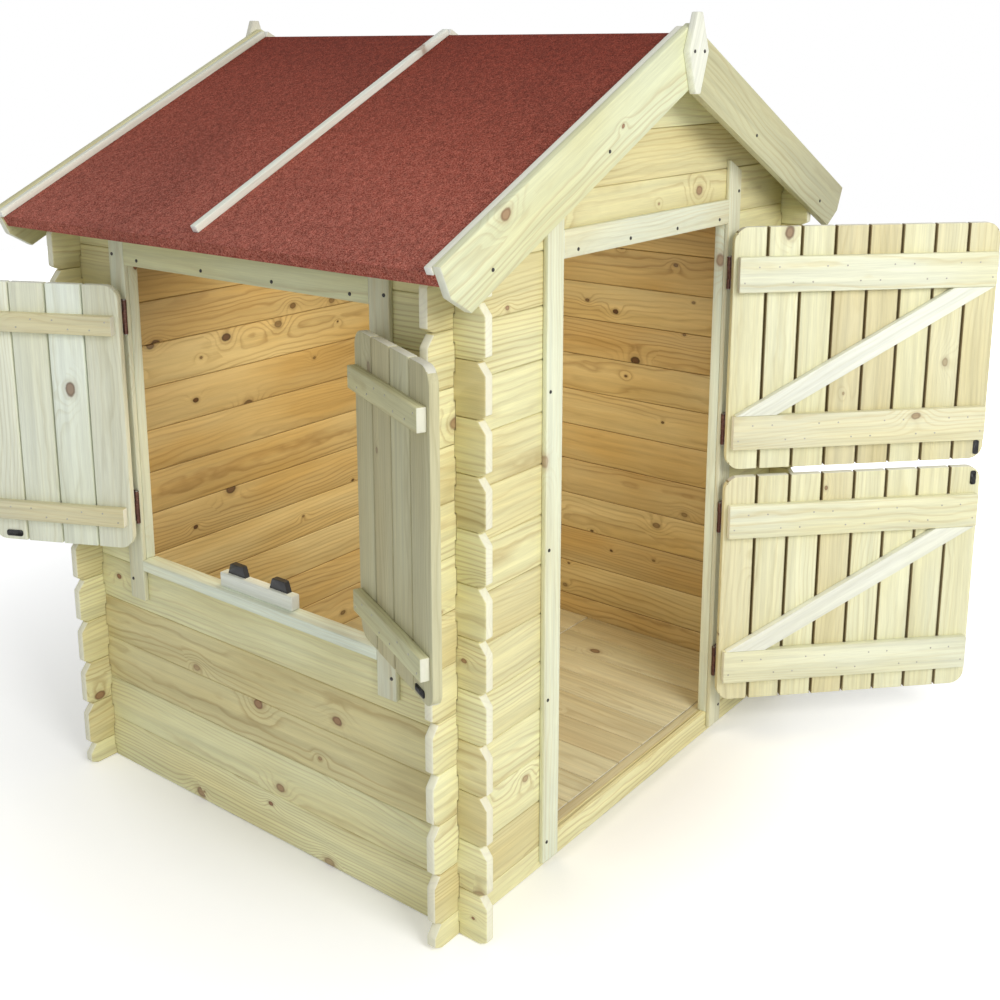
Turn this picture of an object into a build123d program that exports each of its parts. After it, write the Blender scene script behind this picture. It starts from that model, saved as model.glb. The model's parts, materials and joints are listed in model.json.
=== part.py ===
from build123d import *
from math import cos, sin, tan, radians
import os

# Garden playhouse of crossed pine boards: log walls, a doorway with a stable door in two leaves,
# a window with two shutters, and a gable roof of boards under mineral felt.
# Millimetres. The origin is on the ground in the middle of the floor, the doorway faces -Y,
# the window faces -X and +Z is up.

# House
house_width = 1110.0        # outer face to outer face of the side walls
house_depth = 950.0         # outer face to outer face of the front and rear walls
log_thick = 18.0
log_height = 90.0
side_courses = 13
log_overhang = 60.0         # board ends past the crossing wall
joint_gap = 0.3             # between boards and between a board and its neighbour
end_cut_run = 16.0          # chamfers of the board ends
end_cut_top = 20.0
end_cut_bottom = 8.0
tongue_thick = 6.0
tongue_high = 8.0
tongue_clear = 1.0          # tongue ends short of a crossing
tongue_root = 1.0           # tongue runs down into its board

# Roof
roof_angle = 26.5
eave_reach = 98.0           # boards past the outer face of the side walls, level
roof_board_thick = 18.0
roof_board_count = 8
felt_thick = 2.5
felt_turn = 20.0            # felt turned down over the board ends
batten_wide = 14.0
batten_thick = 13.0
batten_past_eave = 8.0
middle_batten_back = 20.0   # the middle battens end short of the eave
barge_thick = 16.0
barge_deep = 98.0
barge_proud = 2.0           # barge top above the batten top
barge_past_eave = 24.0
barge_tip_run = 23.0        # clipped tip, first cut
barge_tip_drop = 48.0
finial_thick = 14.0
finial_half_wide = 33.0
finial_half_top = 8.0
finial_above = 18.0
finial_shoulder = 48.0
finial_below = 120.0

# Doorway
door_open_wide = 567.0
lining_thick = 18.0
lining_inside = 2.0         # lining past the inner wall face
casing_thick = 10.0
door_casing_wide = 46.0
door_header_high = 48.0
door_casing_foot = 12.0
door_casing_slope_drop = 74.0

# Window
window_open_wide = 620.0
window_sill_course = 5
window_head_course = 12
sill_thick = 22.0
sill_inside = 6.0
window_casing_wide = 43.0
window_casing_below = 63.0  # casing foot below the log opening
window_casing_drop = 58.0   # casing top below the top of the side walls
window_header_high = 48.0
window_header_lap = 8.0     # header casing below the head lining

# Stable door
leaf_thick = 16.0
leaf_side_gap = 4.5
door_bottom_gap = 45.0
door_top_gap = 4.0
door_middle_gap = 17.0
door_planks = 8
plank_gap = 4.0
door_ledge_high = 71.0
door_ledge_top = 58.0       # from the leaf's top edge to the ledge
door_ledge_bottom = 45.0
ledge_inset = 8.0
brace_foot_wide = 85.0
brace_inset = 4.0
door_corner = 30.0
door_open_angle = 136.0     # degrees open as it stands

# Shutters
shutter_wide = 296.0
shutter_planks = 4
shutter_bottom_gap = 34.0
shutter_top_gap = 42.0
shutter_ledge_high = 37.0
shutter_ledge_top = 56.0
shutter_ledge_bottom = 47.0
shutter_corner = 28.0
shutter_hinge_rise = 12.0   # hinge centre above the ledge centre
shutter_open_angle = 154.0  # degrees open as it stands

# Butt hinges
hinge_high = 64.0
hinge_plate_thick = 2.0
hinge_plate_wide = 30.0
hinge_stand = 5.0           # pin axis in front of the casing face
hinge_side = 2.0            # pin axis inside the opening edge
knuckle_radius = 4.0
pin_radius = 2.0
pin_play = 0.05
knuckle_gap = 0.4
knuckle_middle = 24.0
plate_relief = 4.5          # plate edge from the pin axis, beside the other leaf's knuckle
pin_head_radius = 3.0
pin_head_high = 1.5
hinge_screw_radius = 3.3    # countersink at the plate's face
hinge_screw_angle = 35.0
hinge_screw_gap = 0.25
hinge_screw_at = 18.0       # outer screws from the pin axis
hinge_screw_middle = 23.0
hinge_screw_rise = 22.0

# Catches and strikes
catch_long = 46.0
catch_high = 20.0
catch_deep = 11.0
door_catch_long = 32.0
door_catch_reach = 26.0
door_catch_off_edge = 25.0  # catch centre from the leaf's edge at the middle gap
door_strike_long = 30.0
door_strike_at = 16.0       # from the free edge of the door leaf
strike_long = 34.0
strike_wide = 12.0
strike_thick = 2.0
strike_gap = 0.5
catch_taper = 7.0           # each end of a shutter catch leans in by this
shutter_strike_at = 250.0   # from the hinge edge of the shutter
shutter_strike_up = 14.0    # from the bottom edge of the shutter
block_long = 190.0
block_high = 28.0
block_deep = 20.0
block_behind = 12.0         # face of the catch block behind the casing face

# Floor
bearer_high = 27.0
bearer_wide = 45.0
floor_thick = 16.0
floor_gap = 2.0
floor_boards_across = 12
edge_strip_wide = 20.0

# Screws
screw_radius = 3.2
screw_high = 1.2
screw_round = 0.8
casing_screw_edge = 10.0    # from the casing's outer edge
casing_screw_end = 40.0     # from the casing's ends
header_screw_edge = 12.0    # from the header's lower edge
barge_screw_drop = 22.0     # below the barge's middle line
barge_screw_peak = 255.0    # level distance from the ridge
barge_screw_eave = 95.0     # level distance from the eave
finial_screw_side = 17.0

# Worked out
half_width = house_width / 2
half_depth = house_depth / 2
inner_x = half_width - log_thick
inner_y = half_depth - log_thick
log_end_x = half_width + log_overhang
log_end_y = half_depth + log_overhang
side_top = side_courses * log_height
half_course = log_height / 2
quarter_course = log_height / 4
slope = radians(roof_angle)
ridge_under = side_top + half_width * tan(slope)
slope_length = (half_width + eave_reach) / cos(slope)
felt_rise = roof_board_thick + joint_gap
batten_rise = felt_rise + felt_thick + joint_gap
batten_top = batten_rise + batten_thick
barge_peak = ridge_under + batten_top / cos(slope) + barge_proud

door_half = door_open_wide / 2
door_log_half = door_half + lining_thick + joint_gap
door_courses = 12
door_sill_top = half_course
door_head_log = half_course + door_courses * log_height
door_head = door_head_log - lining_thick - joint_gap
casing_face_y = half_depth + joint_gap + casing_thick
window_half = window_open_wide / 2
window_log_half = window_half + lining_thick + joint_gap
window_log_bottom = window_sill_course * log_height
window_log_top = window_head_course * log_height
window_casing_foot = window_log_bottom - window_casing_below
window_casing_top = side_top - window_casing_drop
window_sill_top = window_log_bottom + joint_gap + sill_thick
window_head = window_log_top - lining_thick - joint_gap
casing_face_x = half_width + joint_gap + casing_thick

os.makedirs("parts", exist_ok=True)


def save(piece, name):
    piece.part.label = name
    export_step(piece.part, f"parts/{name}.step")


def log_outline(start, end, bottom, top, centre, crossings):
    """Elevation of one wall board: clipped ends where it crosses a wall, half notches at the crossings."""
    crosses_start = any(abs(low - log_overhang - start) < joint_gap for low, high in crossings)
    crosses_end = any(abs(high + log_overhang - end) < joint_gap for low, high in crossings)
    held = quarter_course - joint_gap / 2
    upper = []
    lower = []
    for low, high in crossings:
        if start < low and high < end:
            left, right = low - joint_gap, high + joint_gap
            if top > centre + held:
                upper += [(left, top), (left, centre + held), (right, centre + held), (right, top)]
            if bottom < centre - held:
                lower += [(left, bottom), (left, centre - held), (right, centre - held), (right, bottom)]
    cut_start = end_cut_run if crosses_start else 0.0
    cut_end = end_cut_run if crosses_end else 0.0
    points = [(start + cut_start, top)] + upper + [(end - cut_end, top)]
    if crosses_end:
        points += [(end, top - end_cut_top), (end, bottom + end_cut_bottom)]
    points += [(end - cut_end, bottom)] + lower[::-1] + [(start + cut_start, bottom)]
    if crosses_start:
        points += [(start, bottom + end_cut_bottom), (start, top - end_cut_top)]
    return points


def tongue_span(start, end, crossings):
    """The stretch of a board between its crossings, where the tongue and the groove run."""
    for low, high in crossings:
        if start < low and high < end:
            if (low + high) / 2 < (start + end) / 2:
                start = high + tongue_clear
            else:
                end = low - tongue_clear
    return start, end


def draw_strip(start, end, bottom, top):
    Polygon((start, bottom), (end, bottom), (end, top), (start, top), align=None)


def extrude_strips(plane, strips, thickness, mode):
    if strips:
        with BuildSketch(plane) as profile:
            for strip in strips:
                draw_strip(*strip)
        extrude(profile.sketch, amount=thickness, dir=plane.z_dir, mode=mode)


def draw_logs(plane, courses, start, end, crossings):
    """Boards of one wall in the current part. A course is (bottom, top, centre, has_groove, has_tongue)."""
    with BuildSketch(plane) as profile:
        for bottom, top, centre, has_groove, has_tongue in courses:
            Polygon(*log_outline(start, end, bottom, top, centre, crossings), align=None)
    extrude(profile.sketch, amount=log_thick, dir=plane.z_dir)
    span_start, span_end = tongue_span(start, end, crossings)
    tongue_side = (log_thick - tongue_thick) / 2
    grooves = []
    tongues = []
    for bottom, top, centre, has_groove, has_tongue in courses:
        if has_groove:
            groove_top = bottom + tongue_high + joint_gap
            grooves.append((span_start - joint_gap, span_end + joint_gap, bottom, groove_top))
        if has_tongue:
            tongues.append((span_start, span_end, top - tongue_root, top + tongue_high))
    extrude_strips(plane.offset(tongue_side - joint_gap), grooves, tongue_thick + 2 * joint_gap, Mode.SUBTRACT)
    extrude_strips(plane.offset(tongue_side), tongues, tongue_thick, Mode.ADD)


def side_course(index):
    bottom = index * log_height
    last = index == side_courses - 1
    return (bottom, bottom + log_height - joint_gap, bottom + half_course, index > 0, not last)


def end_course(index):
    """Courses of the front and rear walls, half a course out of step with the side walls. 0 is the starter."""
    centre = index * log_height
    bottom = max(centre - half_course, 0.0)
    return (bottom, centre + half_course - joint_gap, centre, index > 0, True)


side_crossings = [(-half_depth, -inner_y), (inner_y, half_depth)]
end_crossings = [(-half_width, -inner_x), (inner_x, half_width)]
front_plane = Plane.XZ.offset(inner_y)
rear_plane = Plane.XZ.offset(-half_depth)
left_plane = Plane.YZ.offset(-half_width)
right_plane = Plane.YZ.offset(inner_x)


def slope_point(side, run, rise):
    """A point in front view: run down the slope from the ridge, rise square to the boards' underside."""
    level = run * cos(slope) + rise * sin(slope)
    return (side * level, ridge_under - run * sin(slope) + rise * cos(slope))


def ridge_run(rise):
    """Run at which a slope point of that rise lies on the ridge's centre plane."""
    return joint_gap - rise * tan(slope)


def cut_to_roof(plane, thickness):
    """Cuts the boards in the current part to the underside of the roof boards."""
    above = ridge_under + log_height
    reach = log_end_x + log_height
    edge = ridge_under - reach * tan(slope)
    with BuildSketch(plane) as profile:
        Polygon((-reach, edge), (0, ridge_under), (reach, edge), (reach, above), (-reach, above), align=None)
    extrude(profile.sketch, amount=thickness, dir=plane.z_dir, mode=Mode.SUBTRACT)


# Walls
first_gable = door_courses + 1
gable_courses = [end_course(index) for index in range(first_gable, first_gable + 4)]
beside_door = [end_course(index) for index in range(1, first_gable)]

with BuildPart() as front_sill_log:
    draw_logs(front_plane, [end_course(0)], -log_end_x, log_end_x, end_crossings)
    # The tongue stays beside the doorway only.
    with BuildSketch(front_plane):
        draw_strip(-door_log_half, door_log_half, door_sill_top - joint_gap, log_height)
    extrude(amount=log_thick, mode=Mode.SUBTRACT)
save(front_sill_log, "front_sill_log")

with BuildPart() as front_left_logs:
    draw_logs(front_plane, beside_door, -log_end_x, -door_log_half, end_crossings)
save(front_left_logs, "front_left_logs")

with BuildPart() as front_right_logs:
    draw_logs(front_plane, beside_door, door_log_half, log_end_x, end_crossings)
save(front_right_logs, "front_right_logs")

with BuildPart() as front_gable_logs:
    draw_logs(front_plane, gable_courses, -log_end_x, log_end_x, end_crossings)
    cut_to_roof(front_plane, log_thick)
save(front_gable_logs, "front_gable_logs")

with BuildPart() as rear_wall_logs:
    rear_courses = [end_course(index) for index in range(first_gable)]
    draw_logs(rear_plane, rear_courses, -log_end_x, log_end_x, end_crossings)
save(rear_wall_logs, "rear_wall_logs")

with BuildPart() as rear_gable_logs:
    draw_logs(rear_plane, gable_courses, -log_end_x, log_end_x, end_crossings)
    cut_to_roof(rear_plane, log_thick)
save(rear_gable_logs, "rear_gable_logs")

with BuildPart() as right_wall_logs:
    all_side_courses = [side_course(index) for index in range(side_courses)]
    draw_logs(right_plane, all_side_courses, -log_end_y, log_end_y, side_crossings)
save(right_wall_logs, "right_wall_logs")

under_window = [side_course(index) for index in range(window_sill_course)]
beside_window = [side_course(index) for index in range(window_sill_course, window_head_course)]
over_window = [side_course(index) for index in range(window_head_course, side_courses)]

with BuildPart() as left_lower_logs:
    draw_logs(left_plane, under_window, -log_end_y, log_end_y, side_crossings)
    # No tongue where the window sill lies.
    with BuildSketch(left_plane):
        tongue_foot = window_log_bottom - joint_gap
        draw_strip(-window_log_half, window_log_half, tongue_foot, tongue_foot + log_height)
    extrude(amount=log_thick, mode=Mode.SUBTRACT)
save(left_lower_logs, "left_lower_logs")

with BuildPart() as left_front_logs:
    draw_logs(left_plane, beside_window, -log_end_y, -window_log_half, side_crossings)
save(left_front_logs, "left_front_logs")

with BuildPart() as left_rear_logs:
    draw_logs(left_plane, beside_window, window_log_half, log_end_y, side_crossings)
save(left_rear_logs, "left_rear_logs")

with BuildPart() as left_top_log:
    draw_logs(left_plane, over_window, -log_end_y, log_end_y, side_crossings)
save(left_top_log, "left_top_log")

# Floor
floor_half_x = inner_x - floor_gap
floor_half_y = inner_y - joint_gap
bearer_y = floor_half_y - bearer_wide / 2
bearer_places = [-bearer_y, 0.0, bearer_y]

with BuildPart() as floor_bearers:
    with BuildSketch(Plane.XY):
        with Locations(*[(0, place) for place in bearer_places]):
            Rectangle(2 * (inner_x - joint_gap), bearer_wide)
    extrude(amount=bearer_high)
save(floor_bearers, "floor_bearers")

board_pitch = 2 * floor_half_x / floor_boards_across
board_centres = [-floor_half_x + (index + 0.5) * board_pitch for index in range(floor_boards_across)]
front_boards_start = -floor_half_y + edge_strip_wide + floor_gap


def draw_floor_boards(start, end):
    with BuildSketch(Plane.XY.offset(bearer_high)) as profile:
        with Locations(*[(centre, (start + end) / 2) for centre in board_centres]):
            Rectangle(board_pitch - floor_gap, end - start)
    extrude(profile.sketch, amount=floor_thick)


with BuildPart() as front_floor_boards:
    draw_floor_boards(front_boards_start, -floor_gap / 2)
save(front_floor_boards, "front_floor_boards")

with BuildPart() as rear_floor_boards:
    draw_floor_boards(floor_gap / 2, floor_half_y)
save(rear_floor_boards, "rear_floor_boards")

with BuildPart() as floor_edge_strip:
    with BuildSketch(Plane.XY.offset(bearer_high)):
        with Locations((0, -floor_half_y + edge_strip_wide / 2)):
            Rectangle(2 * floor_half_x, edge_strip_wide)
    extrude(amount=floor_thick)
save(floor_edge_strip, "floor_edge_strip")

# Roof
roof_rear = Plane.XZ.offset(-log_end_y)
roof_length = 2 * log_end_y
roof_board_wide = slope_length / roof_board_count

for side, name in ((-1, "left_roof_boards"), (1, "right_roof_boards")):
    with BuildPart() as roof_boards:
        with BuildSketch(roof_rear):
            for index in range(roof_board_count):
                low = index * roof_board_wide + joint_gap
                high = (index + 1) * roof_board_wide
                top_low = ridge_run(roof_board_thick) if index == 0 else low
                outline = [(low, 0), (high, 0), (high, roof_board_thick), (top_low, roof_board_thick)]
                Polygon(*[slope_point(side, run, rise) for run, rise in outline], align=None)
        extrude(amount=roof_length)
    save(roof_boards, name)


def felt_outline(rise, run):
    """One face of the felt, from eave to eave over the ridge."""
    left = [slope_point(-1, run, roof_board_thick - felt_turn), slope_point(-1, run, rise)]
    peak = [(0, ridge_under + rise / cos(slope))]
    right = [(-x, z) for x, z in reversed(left)]
    return left + peak + right


inner_felt = felt_outline(felt_rise, slope_length + joint_gap)
outer_felt = felt_outline(felt_rise + felt_thick, slope_length + joint_gap + felt_thick)
strip_length = log_end_y - joint_gap / 2

for start, name in ((-log_end_y, "front_felt"), (joint_gap / 2, "rear_felt")):
    with BuildPart() as felt:
        with BuildSketch(Plane.XZ.offset(-start - strip_length)):
            Polygon(*inner_felt, *reversed(outer_felt), align=None)
        extrude(amount=strip_length)
    save(felt, name)

batten_ends = [-log_end_y + batten_wide, batten_wide / 2, log_end_y]

with BuildPart() as roof_battens:
    for batten_end in batten_ends:
        is_middle = abs(batten_end) < batten_wide
        with BuildSketch(Plane.XZ.offset(-batten_end)):
            for side in (-1, 1):
                low = ridge_run(batten_rise)
                high = slope_length - middle_batten_back if is_middle else slope_length + batten_past_eave
                outline = [(low, batten_rise), (high, batten_rise), (high, batten_top), (low, batten_top)]
                Polygon(*[slope_point(side, run, rise) for run, rise in outline], align=None)
        extrude(amount=batten_wide)
save(roof_battens, "roof_battens")


def barge_outline(side):
    """Front view of one barge board, plumb cut at the peak and clipped twice at the tip."""
    reach = (slope_length + barge_past_eave) * cos(slope)
    tip_top = barge_peak - reach * tan(slope)
    lower_peak = barge_peak - barge_deep / cos(slope)
    corner_x = reach - barge_tip_run
    corner_z = tip_top - barge_tip_drop
    foot_x = corner_x - 2 * barge_tip_run
    foot_z = lower_peak - foot_x * tan(slope)
    tip = [(reach, tip_top), (corner_x, corner_z), (foot_x, foot_z)]
    outline = [(joint_gap, barge_peak)] + tip + [(joint_gap, lower_peak)]
    return [(side * x, z) for x, z in outline]


front_barge_back = Plane.XZ.offset(log_end_y + joint_gap)
rear_barge_face = Plane.XZ.offset(-log_end_y - joint_gap - barge_thick)
barge_places = (
    (front_barge_back, -1, "front_left_barge"),
    (front_barge_back, 1, "front_right_barge"),
    (rear_barge_face, -1, "rear_left_barge"),
    (rear_barge_face, 1, "rear_right_barge"),
)
for plane, side, name in barge_places:
    with BuildPart() as barge:
        with BuildSketch(plane):
            Polygon(*barge_outline(side), align=None)
        extrude(amount=barge_thick)
    save(barge, name)

shoulder_z = barge_peak - finial_shoulder
finial_half = [
    (finial_half_top, barge_peak + finial_above),
    (finial_half_wide, shoulder_z),
    (finial_half_top, barge_peak - finial_below),
]
finial_outline = finial_half + [(-x, z) for x, z in reversed(finial_half)]
finial_back = log_end_y + joint_gap + barge_thick

finial_places = (
    (Plane.XZ.offset(finial_back), "front_finial"),
    (Plane.XZ.offset(-finial_back - finial_thick), "rear_finial"),
)
for plane, name in finial_places:
    with BuildPart() as finial:
        with BuildSketch(plane):
            Polygon(*finial_outline, align=None)
        extrude(amount=finial_thick)
    save(finial, name)

# Doorway
lining_deep_y = log_thick + lining_inside
door_lining_plane = Plane.XZ.offset(inner_y - lining_inside)

with BuildPart() as door_lining:
    with BuildSketch(door_lining_plane):
        for side in (-1, 1):
            with Locations((side * (door_half + lining_thick / 2), (door_sill_top + door_head_log) / 2)):
                Rectangle(lining_thick, door_head_log - door_sill_top - joint_gap)
        with Locations((0, door_head + lining_thick / 2)):
            Rectangle(door_open_wide - 2 * joint_gap, lining_thick)
    extrude(amount=lining_deep_y)
save(door_lining, "door_lining")

casing_plane_y = Plane.XZ.offset(half_depth + joint_gap)
casing_inner = door_half
casing_outer = door_half + door_casing_wide
casing_cut = ridge_under - door_casing_slope_drop

for side, name in ((-1, "left_door_casing"), (1, "right_door_casing")):
    outline = [
        (casing_inner, door_casing_foot),
        (casing_outer, door_casing_foot),
        (casing_outer, casing_cut - casing_outer * tan(slope)),
        (casing_inner, casing_cut - casing_inner * tan(slope)),
    ]
    with BuildPart() as casing:
        with BuildSketch(casing_plane_y):
            Polygon(*[(side * x, z) for x, z in outline], align=None)
        extrude(amount=casing_thick)
    save(casing, name)

with BuildPart() as door_header:
    with BuildSketch(casing_plane_y):
        with Locations((0, door_head + door_header_high / 2)):
            Rectangle(door_open_wide - 2 * joint_gap, door_header_high)
    extrude(amount=casing_thick)
save(door_header, "door_header")

# Window
casing_plane_x = Plane.YZ.offset(-casing_face_x)

with BuildPart() as window_lining:
    with BuildSketch(left_plane):
        for side in (-1, 1):
            with Locations((side * (window_half + lining_thick / 2), (window_sill_top + window_log_top) / 2)):
                Rectangle(lining_thick, window_log_top - window_sill_top - 2 * joint_gap)
        with Locations((0, window_head + lining_thick / 2)):
            Rectangle(window_open_wide - 2 * joint_gap, lining_thick)
    extrude(amount=log_thick + lining_inside)
save(window_lining, "window_lining")

with BuildPart() as window_sill:
    with BuildSketch(Plane.XY.offset(window_log_bottom)):
        inner_edge = -inner_x + sill_inside
        Polygon(
            (-half_width, -window_log_half + joint_gap),
            (-half_width, -window_half + joint_gap),
            (-casing_face_x, -window_half + joint_gap),
            (-casing_face_x, window_half - joint_gap),
            (-half_width, window_half - joint_gap),
            (-half_width, window_log_half - joint_gap),
            (inner_edge, window_log_half - joint_gap),
            (inner_edge, -window_log_half + joint_gap),
            align=None,
        )
    extrude(amount=sill_thick)
    # The sill is only as long as the window opening inside the wall, past the log ends.
    with BuildSketch(Plane.XY.offset(window_log_bottom)):
        for side in (-1, 1):
            with Locations(((-inner_x + inner_edge) / 2, side * window_log_half)):
                Rectangle(sill_inside, 2 * lining_thick)
    extrude(amount=sill_thick, mode=Mode.SUBTRACT)
save(window_sill, "window_sill")

for side, name in ((-1, "front_window_casing"), (1, "rear_window_casing")):
    with BuildPart() as casing:
        with BuildSketch(casing_plane_x):
            with Locations(
                (side * (window_half + window_casing_wide / 2), (window_casing_foot + window_casing_top) / 2)
            ):
                Rectangle(window_casing_wide, window_casing_top - window_casing_foot)
        extrude(amount=casing_thick)
    save(casing, name)

header_bottom = window_head - window_header_lap
with BuildPart() as window_header:
    with BuildSketch(casing_plane_x):
        with Locations((0, header_bottom + window_header_high / 2)):
            Rectangle(window_open_wide - 2 * joint_gap, window_header_high)
    extrude(amount=casing_thick)
save(window_header, "window_header")


# Leaves that swing. Each leaf is drawn on a plane through its pin axis that faces into the house when the leaf
# is closed: x runs from the hinge edge to the free edge, and y is up or, on the rear shutter, down.
hinge_edge = leaf_side_gap - hinge_side
inner_face = hinge_stand + leaf_thick
ledge_depth = leaf_thick
door_wide = door_open_wide - 2 * leaf_side_gap
lower_bottom = door_sill_top + door_bottom_gap
upper_top = door_head - door_top_gap
door_high = (upper_top - lower_bottom - door_middle_gap) / 2
shutter_bottom = window_sill_top + shutter_bottom_gap
shutter_top = window_head - shutter_top_gap
door_pivot = (door_half - hinge_side, -casing_face_y - hinge_stand)
front_shutter_pivot = (-casing_face_x - hinge_stand, hinge_side - window_half)
rear_shutter_pivot = (-casing_face_x - hinge_stand, window_half - hinge_side)
knuckle_end = (hinge_high - knuckle_middle) / 2 - knuckle_gap


def leaf_plane(pivot, angle, up):
    across = Vector(cos(radians(angle)), sin(radians(angle)), 0)
    inward = across.cross(Vector(0, 0, up))
    return Plane(origin=(pivot[0], pivot[1], 0), x_dir=across, z_dir=inward)


class Leaf:
    """A hinged leaf. closed_angle and opening are degrees about +Z."""

    def __init__(self, name, pivot, closed_angle, opening, up, wide, bottom, top):
        self.name = name
        self.pivot = pivot
        self.up = up
        self.wide = wide
        self.bottom = bottom
        self.top = top
        self.frame_plane = leaf_plane(pivot, closed_angle, up)
        self.plane = leaf_plane(pivot, closed_angle + opening, up)


class DoorLeaf(Leaf):
    planks = door_planks
    corner = door_corner

    def ledges(self):
        low = self.bottom + door_ledge_bottom
        high = self.top - door_ledge_top
        return (low, low + door_ledge_high), (high - door_ledge_high, high)

    def hinge_levels(self):
        return [(low + high) / 2 for low, high in self.ledges()]


class Shutter(Leaf):
    planks = shutter_planks
    corner = shutter_corner

    def ledges(self):
        low = self.bottom + shutter_ledge_bottom
        high = self.top - shutter_ledge_top
        return (low, low + shutter_ledge_high), (high - shutter_ledge_high, high)

    def hinge_levels(self):
        return [(low + high) / 2 + shutter_hinge_rise for low, high in self.ledges()]


upper_bottom = upper_top - door_high
upper_door = DoorLeaf("upper_door", door_pivot, 180, door_open_angle, 1, door_wide, upper_bottom, upper_top)
lower_top = lower_bottom + door_high
lower_door = DoorLeaf("lower_door", door_pivot, 180, door_open_angle, 1, door_wide, lower_bottom, lower_top)
front_shutter = Shutter(
    "front_shutter", front_shutter_pivot, 90, shutter_open_angle, 1, shutter_wide, shutter_bottom, shutter_top
)
rear_shutter = Shutter(
    "rear_shutter", rear_shutter_pivot, -90, -shutter_open_angle, -1, shutter_wide, shutter_bottom, shutter_top
)
doors = [upper_door, lower_door]
shutters = [front_shutter, rear_shutter]


def draw_box(up, start, end, low, high):
    """A rectangle on a leaf's plane, from its edges: along the leaf and in height above the ground."""
    with Locations(((start + end) / 2, up * (low + high) / 2)):
        Rectangle(abs(end - start), high - low)


def draw_planks(leaf):
    with BuildSketch(leaf.plane.offset(hinge_stand)) as outline:
        draw_box(leaf.up, hinge_edge, hinge_edge + leaf.wide, leaf.bottom, leaf.top)
        fillet(outline.vertices(), leaf.corner)
        plank_wide = (leaf.wide - (leaf.planks - 1) * plank_gap) / leaf.planks
        for index in range(1, leaf.planks):
            gap_centre = hinge_edge + index * (plank_wide + plank_gap) - plank_gap / 2
            with Locations((gap_centre, leaf.up * (leaf.bottom + leaf.top) / 2)):
                Rectangle(plank_gap, leaf.top - leaf.bottom, mode=Mode.SUBTRACT)
    extrude(outline.sketch, amount=leaf_thick, dir=leaf.plane.z_dir)


def draw_ledges(leaf):
    with BuildSketch(leaf.plane.offset(inner_face)) as profile:
        for low, high in leaf.ledges():
            draw_box(leaf.up, hinge_edge + ledge_inset, hinge_edge + leaf.wide - ledge_inset, low, high)
    extrude(profile.sketch, amount=ledge_depth, dir=leaf.plane.z_dir)


def draw_brace(leaf):
    """The brace rises from the hinge side of the lower ledge to the free side of the upper one."""
    lower, upper = leaf.ledges()
    foot = hinge_edge + ledge_inset + brace_inset
    head = hinge_edge + leaf.wide - ledge_inset - brace_inset
    low = lower[1] + joint_gap
    high = upper[0] - joint_gap
    corners = [(foot, low), (foot + brace_foot_wide, low), (head, high), (head - brace_foot_wide, high)]
    with BuildSketch(leaf.plane.offset(inner_face)) as profile:
        Polygon(*[(x, leaf.up * z) for x, z in corners], align=None)
    extrude(profile.sketch, amount=ledge_depth, dir=leaf.plane.z_dir)


def draw_knuckle(pivot, low, high):
    with BuildSketch(Plane.XY.offset(low)) as profile:
        with Locations(pivot):
            Circle(knuckle_radius)
            Circle(pin_radius + pin_play, mode=Mode.SUBTRACT)
    extrude(profile.sketch, amount=high - low)


def draw_hinge_half(plane, up, side, pivot, level, knuckles):
    """One plate of a butt hinge with its knuckles and screws. side is 1 on the leaf and -1 on the casing."""
    face = plane.offset(hinge_stand - hinge_plate_thick)
    screws = [
        (side * hinge_screw_at, up * (level - hinge_screw_rise)),
        (side * hinge_screw_middle, up * level),
        (side * hinge_screw_at, up * (level + hinge_screw_rise)),
    ]
    with BuildSketch(face) as profile:
        plate_low, plate_high = level - hinge_high / 2, level + hinge_high / 2
        draw_box(up, side * plate_relief, side * hinge_plate_wide, plate_low, plate_high)
        for low, high in knuckles:
            draw_box(up, 0, side * plate_relief, level + low, level + high)
    extrude(profile.sketch, amount=hinge_plate_thick, dir=face.z_dir)
    for low, high in knuckles:
        draw_knuckle(pivot, level + low, level + high)
    with BuildSketch(face) as profile:
        with Locations(*screws):
            Circle(hinge_screw_radius)
    countersink = {"amount": hinge_plate_thick, "dir": face.z_dir, "taper": hinge_screw_angle}
    extrude(profile.sketch, **countersink, mode=Mode.SUBTRACT)
    with BuildSketch(face) as profile:
        with Locations(*screws):
            Circle(hinge_screw_radius - hinge_screw_gap)
    extrude(profile.sketch, **countersink)


middle_knuckle = [(-knuckle_middle / 2, knuckle_middle / 2)]
end_knuckles = [
    (-hinge_high / 2, -hinge_high / 2 + knuckle_end),
    (hinge_high / 2 - knuckle_end, hinge_high / 2),
]

for leaf in doors + shutters:
    with BuildPart() as planks:
        draw_planks(leaf)
    save(planks, f"{leaf.name}_planks")

    with BuildPart() as ledges:
        draw_ledges(leaf)
        if leaf in doors:
            draw_brace(leaf)
    save(ledges, f"{leaf.name}_ledges")

    with BuildPart() as hinge_leaves:
        for level in leaf.hinge_levels():
            draw_hinge_half(leaf.plane, leaf.up, 1, leaf.pivot, level, middle_knuckle)
    save(hinge_leaves, f"{leaf.name}_hinge_leaves")

for leaves, name in ((doors, "door_hinge_frames"), (shutters, "shutter_hinge_frames")):
    with BuildPart() as hinge_frames:
        for leaf in leaves:
            for level in leaf.hinge_levels():
                draw_hinge_half(leaf.frame_plane, leaf.up, -1, leaf.pivot, level, end_knuckles)
    save(hinge_frames, name)

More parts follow.
